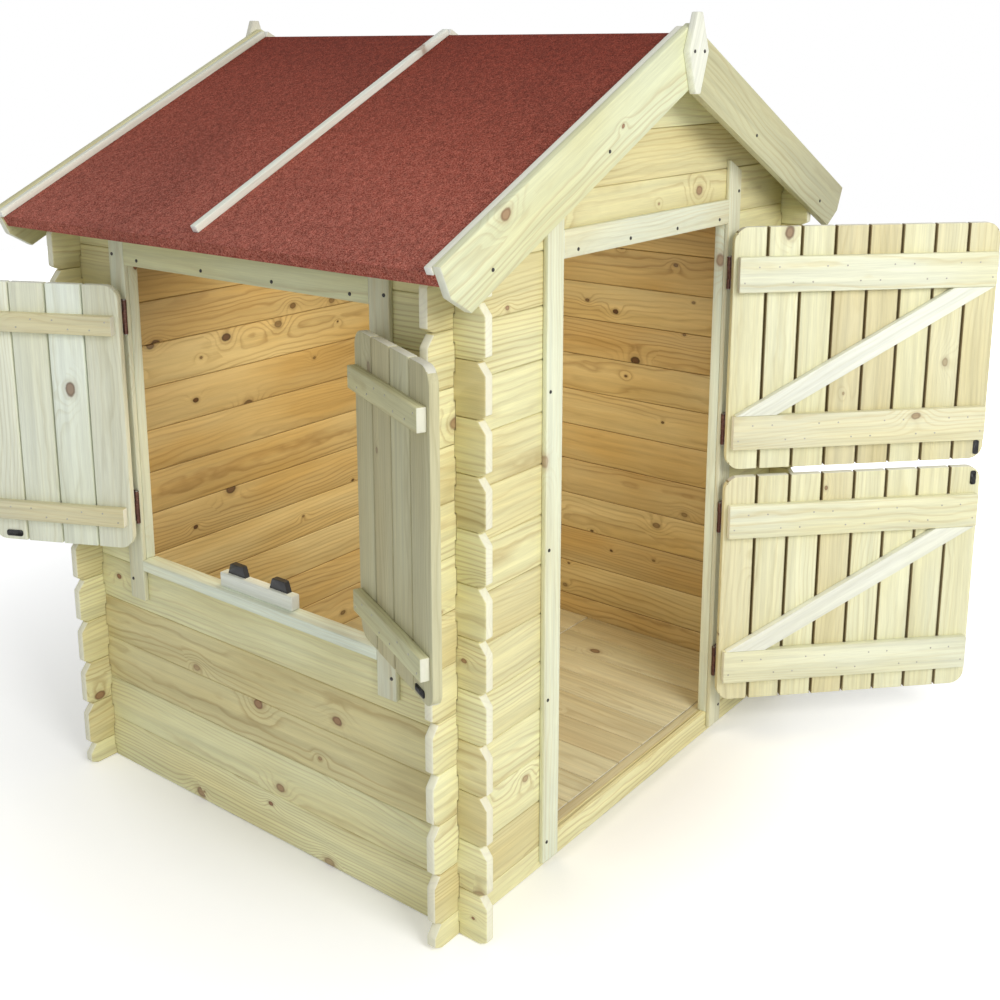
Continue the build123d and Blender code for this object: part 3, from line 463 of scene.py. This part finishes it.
# Boards: a merged copy of the solids, with eased edges and the run of the grain in each board
boards = {
    # node: look, direction of the room for walls and roof boards, width of the eased edges
    "front_sill_log": ("outside", (0, 1, 0), 0.001),
    "front_left_logs": ("outside", (0, 1, 0), 0.003),
    "front_right_logs": ("outside", (0, 1, 0), 0.003),
    "front_gable_logs": ("outside", (0, 1, 0), 0.003),
    "rear_wall_logs": ("outside", (0, -1, 0), 0.003),
    "rear_gable_logs": ("outside", (0, -1, 0), 0.003),
    "left_lower_logs": ("outside", (1, 0, 0), 0.003),
    "left_front_logs": ("outside", (1, 0, 0), 0.003),
    "left_rear_logs": ("outside", (1, 0, 0), 0.003),
    "left_top_log": ("outside", (1, 0, 0), 0.003),
    "right_wall_logs": ("outside", (-1, 0, 0), 0.003),
    "floor_bearers": ("floor", None, 0.002),
    "front_floor_boards": ("floor", None, 0.0018),
    "rear_floor_boards": ("floor", None, 0.0018),
    "floor_edge_strip": ("floor", None, 0.001),
    "left_roof_boards": ("outside", (0.446, 0, -0.895), 0.002),
    "right_roof_boards": ("outside", (-0.446, 0, -0.895), 0.002),
    "roof_battens": ("white", None, 0.0012),
    "front_left_barge": ("barge", None, 0.002),
    "front_right_barge": ("farBarge", None, 0.002),
    "rear_left_barge": ("barge", None, 0.002),
    "rear_right_barge": ("barge", None, 0.002),
    "front_finial": ("white", None, 0.0018),
    "rear_finial": ("white", None, 0.0018),
    "door_lining": ("trim", None, 0.0012),
    "left_door_casing": ("trim", None, 0.0018),
    "right_door_casing": ("trim", None, 0.0018),
    "door_header": ("trim", None, 0.0018),
    "window_lining": ("trim", None, 0.0012),
    "window_sill": ("trim", None, 0.0018),
    "front_window_casing": ("trim", None, 0.0018),
    "rear_window_casing": ("trim", None, 0.0018),
    "window_header": ("barge", None, 0.0018),
    "sill_block": ("white", None, 0.002),
    "upper_door_planks": ("plank", None, 0.0018),
    "lower_door_planks": ("plank", None, 0.0018),
    # the front shutter takes the copy with painted shade, the rear one the copy with painted light
    "front_shutter_planks": ("nearShutter", None, 0.0018),
    "rear_shutter_planks": ("farShutter", None, 0.0018),
    "upper_door_ledges": ("ledge", None, 0.0018),
    "lower_door_ledges": ("ledge", None, 0.0018),
    "front_shutter_ledges": ("nearLedge", None, 0.0018),
    "rear_shutter_ledges": ("ledge", None, 0.0018),
}
# How a copy is cleaned and eased: lengths in metres, angles in degrees
boardMesh = {
    "mergeDistance": 0.00002, "flatAngle": 0.5, "smoothAngle": 32, "sharpAngle": 20,
    "broadSlack": 0.00005, "easedEnd": 0.018, "segments": 2,
    "gapMargin": 0.006,  # the outer edges of a leaf are no gaps
}
# How far a face turns to a direction, as the cosine of the angle between them
facing = {"end": 0.7, "room": 0.3, "joint": 0.8, "jointEnd": 0.3, "gap": 0.3}
braceRise = (0.1, 0.9)  # a brace climbs more than a ledge and less than a plank
# Where a board lies in its tree, from the heart, in metres along, across and outwards
treePlace = {"along": (0, 40), "across": (0.0, 0.045), "outwards": (0.028, 0.08)}


def copyNode(node, name):
    source = frame["nodes"][node]
    piece = bpy.data.objects.new(name, source.data.copy())
    bpy.context.scene.collection.objects.link(piece)
    piece.data.materials.clear()
    pick(piece)
    bpy.ops.object.mode_set(mode="EDIT")
    bpy.ops.mesh.select_all(action="SELECT")
    bpy.ops.mesh.remove_doubles(threshold=boardMesh["mergeDistance"])
    bpy.ops.mesh.dissolve_limited(angle_limit=radians(boardMesh["flatAngle"]), use_dissolve_boundaries=False)
    bpy.ops.mesh.select_all(action="DESELECT")
    bpy.ops.object.mode_set(mode="OBJECT")
    return piece


# Groups of face indices, one group for each board
def looseParts(mesh):
    work = bmesh.new()
    work.from_mesh(mesh)
    work.faces.ensure_lookup_table()
    seen = set()
    groups = []
    for face in work.faces:
        if face.index in seen:
            continue
        seen.add(face.index)
        stack = [face]
        group = []
        while stack:
            current = stack.pop()
            group.append(current.index)
            for edge in current.edges:
                for other in edge.link_faces:
                    if other.index not in seen:
                        seen.add(other.index)
                        stack.append(other)
        groups.append(group)
    work.free()
    return groups


# Directions along, across and through a board, from its longest edge and the normal of its largest face
def boardAxes(mesh, group):
    along = Vector((0, 0, 1))
    longest = 0.0
    normal = Vector((1, 0, 0))
    largest = 0.0
    for index in group:
        face = mesh.polygons[index]
        if face.area > largest:
            largest = face.area
            normal = face.normal.copy()
        corners = [mesh.vertices[v].co for v in face.vertices]
        for first, second in zip(corners, corners[1:] + corners[:1]):
            length = (second - first).length
            if length > longest:
                longest = length
                along = (second - first).normalized()
    depth = (normal - along * normal.dot(along)).normalized()
    return along, along.cross(depth), depth


def isBrace(mesh, group):
    return braceRise[0] < abs(boardAxes(mesh, group)[0].z) < braceRise[1]


def cornersOf(mesh, group):
    return [mesh.vertices[v].co for index in group for v in mesh.polygons[index].vertices]


def middleOf(corners):
    return sum(corners, Vector()) / len(corners)


def useSecondMaterial(mesh, group):
    for index in group:
        mesh.polygons[index].material_index = 1


# Rounds the sharp edges of each board's two broad faces and of its ends, not those of notches and tongues
def easeEdges(piece, width):
    mesh = piece.data
    broadFace = [0] * len(mesh.vertices)  # -1 and 1 on the two broad faces
    nearEnd = [False] * len(mesh.vertices)
    for group in looseParts(mesh):
        along, across, depth = boardAxes(mesh, group)
        members = {v for index in group for v in mesh.polygons[index].vertices}
        heights = {v: mesh.vertices[v].co.dot(depth) for v in members}
        runs = {v: mesh.vertices[v].co.dot(along) for v in members}
        low = min(heights.values()) + boardMesh["broadSlack"]
        high = max(heights.values()) - boardMesh["broadSlack"]
        start = min(runs.values()) + boardMesh["easedEnd"]
        end = max(runs.values()) - boardMesh["easedEnd"]
        for v in members:
            broadFace[v] = (heights[v] > high) - (heights[v] < low)
            nearEnd[v] = runs[v] < start or runs[v] > end
    pick(piece)
    bpy.ops.object.mode_set(mode="EDIT")
    bpy.ops.mesh.select_mode(type="EDGE")
    bpy.ops.mesh.select_all(action="DESELECT")
    work = bmesh.from_edit_mesh(mesh)
    work.verts.ensure_lookup_table()
    for edge in work.edges:
        sharp = len(edge.link_faces) == 2 and edge.calc_face_angle() > radians(boardMesh["sharpAngle"])
        first, second = [v.index for v in edge.verts]
        sameFace = broadFace[first] * broadFace[second] == 1
        endEdge = broadFace[first] * broadFace[second] == -1 and nearEnd[first] and nearEnd[second]
        edge.select_set(sharp and (sameFace or endEdge))
    bmesh.update_edit_mesh(mesh)
    bpy.ops.mesh.bevel(offset=width, segments=boardMesh["segments"], profile=0.5, affect="EDGES",
                       clamp_overlap=True)
    bpy.ops.mesh.select_all(action="DESELECT")
    bpy.ops.object.mode_set(mode="OBJECT")


# Writes where each point lies in its tree, which faces are end grain, and each board's tone
def markGrain(piece, seed):
    mesh = piece.data
    dice = random.Random(seed)
    grain = mesh.attributes.new("grain", "FLOAT_VECTOR", "CORNER")
    tone = mesh.attributes.new("boardTone", "FLOAT", "FACE")
    ends = mesh.attributes.new("endGrain", "FLOAT", "FACE")
    for group in looseParts(mesh):
        along, across, depth = boardAxes(mesh, group)
        start = dice.uniform(*treePlace["along"])
        side = dice.choice((-1, 1)) * dice.uniform(*treePlace["across"])
        shift = Vector((start, side, dice.uniform(*treePlace["outwards"])))
        level = dice.random()
        corner = mesh.vertices[mesh.polygons[group[0]].vertices[0]].co.copy()
        for index in group:
            face = mesh.polygons[index]
            tone.data[index].value = level
            ends.data[index].value = float(abs(face.normal.dot(along)) > facing["end"])
            for loop in face.loop_indices:
                offset = mesh.vertices[mesh.loops[loop].vertex_index].co - corner
                place = Vector((offset.dot(along), offset.dot(across), offset.dot(depth))) + shift
                grain.data[loop].vector = place


# The faces towards the room, and the faces inside the joints between the boards
def markLogSides(mesh, roomSide, hasJoints):
    towards = mesh.attributes.new("roomFace", "FLOAT", "FACE")
    joint = mesh.attributes.new("jointFace", "FLOAT", "FACE")
    for group in looseParts(mesh):
        along, across, depth = boardAxes(mesh, group)
        for index in group:
            normal = mesh.polygons[index].normal
            sideways = abs(normal.dot(across)) > facing["joint"]
            endways = abs(normal.dot(along)) >= facing["jointEnd"]
            towards.data[index].value = float(normal.dot(roomSide) > facing["room"])
            joint.data[index].value = float(hasJoints and sideways and not endways)


# Painted shade between the planks: the long edges of the planks that face a neighbour take the second
# material, a dark copy of the pine
def paintGapShade(mesh):
    across = boardAxes(mesh, looseParts(mesh)[0])[1]
    reach = [v.co.dot(across) for v in mesh.vertices]
    low, high = min(reach) + boardMesh["gapMargin"], max(reach) - boardMesh["gapMargin"]
    for face in mesh.polygons:
        if abs(face.normal.dot(across)) > facing["gap"] and low < face.center.dot(across) < high:
            face.material_index = 1


def finishPiece(piece, node, body):
    pick(piece)
    bpy.ops.object.shade_smooth_by_angle(angle=radians(boardMesh["smoothAngle"]))
    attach(piece, body)
    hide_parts(node)


def bodyOf(node):
    for body, members in frame["record"]["behaviour"]["bodies"].items():
        if node in members:
            return body


def camel(node):
    words = node.split("_")
    return words[0] + "".join(word.capitalize() for word in words[1:])


def addBoards():
    pine = {"outside": pineMaterial("pineLog", pineLooks["outside"], pineLooks["inside"])}
    for name, look in pineLooks.items():
        if name not in ("outside", "inside"):
            pine[name] = pineMaterial("pine" + name[0].upper() + name[1:], look)
    for seed, (node, (look, roomSide, ease)) in enumerate(boards.items(), 1):
        piece = copyNode(node, camel(node))
        mesh = piece.data
        easeEdges(piece, ease)
        markGrain(piece, seed)
        mesh.materials.append(pine[look])
        if look == "plank":
            mesh.materials.append(pine["gap"])
            paintGapShade(mesh)
        if look == "ledge":
            mesh.materials.append(pine["white"])
            for group in looseParts(mesh):
                if isBrace(mesh, group):
                    useSecondMaterial(mesh, group)
        if roomSide:
            markLogSides(mesh, Vector(roomSide), node != "front_sill_log")
        finishPiece(piece, node, bodyOf(node))
    print("boards dressed:", len(boards))


# Roof felt, with painted shade that makes it browner and darker from the eaves to the ridge
felt = {
    "red": (0.27, 0.054, 0.034), "pale": (0.50, 0.19, 0.14), "dark": (0.06, 0.016, 0.012),
    "grit": {"scale": 420, "detail": 2, "roughness": 0.7},
    "clump": {"scale": 95, "detail": 3, "roughness": 0.65},
    "cloud": {"scale": 3.2, "detail": 2},
    "paleGrit": [(0.42, 0), (0.66, 1)], "darkGrit": [(0.30, 0.9), (0.44, 0)],
    "clumpShade": [(0.34, 0.74), (0.66, 1.22)], "cloudShade": [(0.3, 0.88), (0.7, 1.1)],
    "eaveHeight": 1.15, "ridgeHeight": 1.48,
    "paintedRiseShade": [(0.0, (1.05, 1.05, 1.05)), (0.45, (0.91, 0.75, 0.68)), (1.0, (0.58, 0.34, 0.27))],
    "clumpRelief": 0.8, "bump": 0.7, "bumpDepth": 0.0012, "roughness": 0.92, "gloss": 0.2,
}


def feltMaterial():
    material, tree, shader = newMaterial("redFelt")
    place = objectPlace(tree)
    grit = noise(tree, place, **felt["grit"])
    clump = noise(tree, place, **felt["clump"])
    cloud = noise(tree, place, **felt["cloud"])
    color = mixColor(tree, ramp(tree, grit, felt["paleGrit"]), felt["red"], felt["pale"])
    color = mixColor(tree, ramp(tree, grit, felt["darkGrit"]), color, felt["dark"])
    color = multiply(tree, color, ramp(tree, clump, felt["clumpShade"]))
    color = multiply(tree, color, ramp(tree, cloud, felt["cloudShade"]))
    # painted shade: darker and browner with height towards the ridge
    rise = calc(tree, "SUBTRACT", splitVector(tree, place)[2], felt["eaveHeight"])
    rise = calc(tree, "DIVIDE", rise, felt["ridgeHeight"] - felt["eaveHeight"], clamp=True)
    color = multiply(tree, color, ramp(tree, rise, felt["paintedRiseShade"]))
    tree.links.new(color, shader.inputs["Base Color"])
    height = calc(tree, "ADD", grit, calc(tree, "MULTIPLY", clump, felt["clumpRelief"]))
    tree.links.new(bumpFrom(tree, height, felt["bump"], felt["bumpDepth"]), shader.inputs["Normal"])
    shader.inputs["Roughness"].default_value = felt["roughness"]
    shader.inputs["Specular IOR Level"].default_value = felt["gloss"]
    return material


def addFelt():
    material = feltMaterial()
    for node in ("front_felt", "rear_felt"):
        piece = copyNode(node, camel(node))
        piece.data.materials.append(material)
        finishPiece(piece, node, "house")
    print("felt laid")


# Metal and plastic
metalLooks = {
    "hingeBrown": {"color": (0.10, 0.045, 0.035), "worn": (0.22, 0.11, 0.08),
                   "metallic": 0.75, "roughness": 0.42},
    "screwBlack": {"color": (0.035, 0.033, 0.03), "worn": (0.14, 0.13, 0.12),
                   "metallic": 0.7, "roughness": 0.45},
    "strikeBlack": {"color": (0.02, 0.02, 0.022), "worn": (0.10, 0.10, 0.10),
                    "metallic": 0.5, "roughness": 0.4},
    "pinSteel": {"color": (0.30, 0.28, 0.26), "worn": (0.5, 0.48, 0.45),
                 "metallic": 0.95, "roughness": 0.35},
    "nailSteel": {"color": (0.50, 0.48, 0.42), "worn": (0.34, 0.30, 0.24),
                  "metallic": 0.3, "roughness": 0.5},
}
metalWear = {
    "noise": {"scale": 160, "detail": 4, "roughness": 0.7}, "wornShare": [(0.48, 0), (0.72, 1)],
    "roughSpread": 0.3, "bump": 0.2, "bumpDepth": 0.0004,
}
catchLook = {
    "low": (0.012, 0.012, 0.013), "high": (0.03, 0.03, 0.032), "pebble": {"scale": 900, "detail": 2},
    "bump": 0.3, "bumpDepth": 0.0003, "roughness": 0.42,
}
metalFittings = {
    "casing_screws": "screwBlack", "barge_screws": "screwBlack", "hinge_pins": "pinSteel",
    "door_hinge_frames": "hingeBrown", "shutter_hinge_frames": "hingeBrown",
    "upper_door_hinge_leaves": "hingeBrown", "lower_door_hinge_leaves": "hingeBrown",
    "front_shutter_hinge_leaves": "hingeBrown", "rear_shutter_hinge_leaves": "hingeBrown",
    "upper_door_strike": "strikeBlack", "lower_door_strike": "strikeBlack",
    "front_shutter_strike": "strikeBlack", "rear_shutter_strike": "strikeBlack",
}
hingeScrewHeight = 0.02  # what is lower than this in a hinge is a screw


def metalMaterial(name, look):
    material, tree, shader = newMaterial(name)
    wear = noise(tree, objectPlace(tree), **metalWear["noise"])
    color = mixColor(tree, ramp(tree, wear, metalWear["wornShare"]), look["color"], look["worn"])
    tree.links.new(color, shader.inputs["Base Color"])
    rough = spread(tree, wear, metalWear["roughSpread"], look["roughness"])
    tree.links.new(rough, shader.inputs["Roughness"])
    tree.links.new(bumpFrom(tree, wear, metalWear["bump"], metalWear["bumpDepth"]), shader.inputs["Normal"])
    shader.inputs["Metallic"].default_value = look["metallic"]
    return material


def plasticMaterial():
    material, tree, shader = newMaterial("catchPlastic")
    pebble = noise(tree, objectPlace(tree), **catchLook["pebble"])
    color = mixColor(tree, pebble, catchLook["low"], catchLook["high"])
    tree.links.new(color, shader.inputs["Base Color"])
    tree.links.new(bumpFrom(tree, pebble, catchLook["bump"], catchLook["bumpDepth"]), shader.inputs["Normal"])
    shader.inputs["Roughness"].default_value = catchLook["roughness"]
    return material


def addFittings(metals):
    for node, look in metalFittings.items():
        piece = copyNode(node, camel(node))
        mesh = piece.data
        mesh.materials.append(metals[look])
        if look == "hingeBrown":
            mesh.materials.append(metals["screwBlack"])
            for group in looseParts(mesh):
                levels = [corner.z for corner in cornersOf(mesh, group)]
                if max(levels) - min(levels) < hingeScrewHeight:
                    useSecondMaterial(mesh, group)
        finishPiece(piece, node, bodyOf(node))
    plastic = plasticMaterial()
    for node in ("door_catches", "shutter_catches"):
        piece = copyNode(node, camel(node))
        piece.data.materials.append(plastic)
        finishPiece(piece, node, "house")
    print("fittings made")


# Nail heads on the ledges, two over each plank. Shares are of the plank's width and the ledge's height
nails = {
    "radius": 0.0017, "sides": 10, "rise": 0.0004, "sink": 0.001, "dome": 0.0003, "domeInset": 0.4,
    "sideShare": 0.22, "highShare": 0.22, "smoothAngle": 40,
}


def nailHead():
    clearSelection()
    height = nails["rise"] + nails["sink"]
    middle = (nails["rise"] - nails["sink"]) / 2
    bpy.ops.mesh.primitive_cylinder_add(vertices=nails["sides"], radius=nails["radius"], depth=height,
                                        location=(0, 0, middle))
    head = bpy.context.object
    bpy.ops.object.mode_set(mode="EDIT")
    bpy.ops.mesh.select_mode(type="FACE")
    bpy.ops.mesh.select_all(action="DESELECT")
    work = bmesh.from_edit_mesh(head.data)
    for face in work.faces:
        face.select_set(face.normal.z > 0.9)  # the top face
    bmesh.update_edit_mesh(head.data)
    bpy.ops.mesh.inset(thickness=nails["radius"] * nails["domeInset"])
    bpy.ops.transform.translate(value=(0, 0, nails["dome"]))
    bpy.ops.object.mode_set(mode="OBJECT")
    return head


# Where a leaf's nail heads lie and which way they point, as matrices
def nailPlaces(ledgeMesh, plankMesh):
    planks = [cornersOf(plankMesh, group) for group in looseParts(plankMesh)]
    places = []
    for group in looseParts(ledgeMesh):
        if isBrace(ledgeMesh, group):
            continue
        along, across, depth = boardAxes(ledgeMesh, group)
        ledge = cornersOf(ledgeMesh, group)
        out = depth if (middleOf(ledge) - middleOf(planks[0])).dot(depth) > 0 else -depth
        turn = out.to_track_quat("Z", "Y").to_matrix().to_4x4()
        face = max(c.dot(out) for c in ledge)
        low, high = min(c.z for c in ledge), max(c.z for c in ledge)
        for number, plank in enumerate(planks):
            start, end = min(c.dot(along) for c in plank), max(c.dot(along) for c in plank)
            for side in (-1, 1):
                rise = side * (1 if number % 2 else -1) * nails["highShare"]
                level = (low + high) / 2 + rise * (high - low)
                spot = (start + end) / 2 + side * nails["sideShare"] * (end - start)
                place = along * spot + out * face + Vector((0, 0, level))
                places.append(Matrix.Translation(place) @ turn)
    return places


def addNails(steel):
    pattern = nailHead()
    count = 0
    for body in ("upper_door", "lower_door", "front_shutter", "rear_shutter"):
        name = camel(body + "_nails")
        ledgeMesh = bpy.data.objects[camel(body + "_ledges")].data
        plankMesh = bpy.data.objects[camel(body + "_planks")].data
        heads = []
        for place in nailPlaces(ledgeMesh, plankMesh):
            head = bpy.data.objects.new(name, pattern.data.copy())
            bpy.context.scene.collection.objects.link(head)
            head.data.transform(place)
            heads.append(head)
        clearSelection()
        for head in heads:
            head.select_set(True)
        bpy.context.view_layer.objects.active = heads[0]
        bpy.ops.object.join()
        piece = bpy.context.object
        piece.name = name
        piece.data.materials.append(steel)
        pick(piece)
        bpy.ops.object.shade_smooth_by_angle(angle=radians(nails["smoothAngle"]))
        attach(piece, body)
        count += len(heads)
    bpy.data.objects.remove(pattern)
    print("nails driven:", count)


addCamera()
addStudio()
addFloor()
addBoards()
addFelt()
metals = {name: metalMaterial(name, look) for name, look in metalLooks.items()}
addFittings(metals)
addNails(metals["nailSteel"])
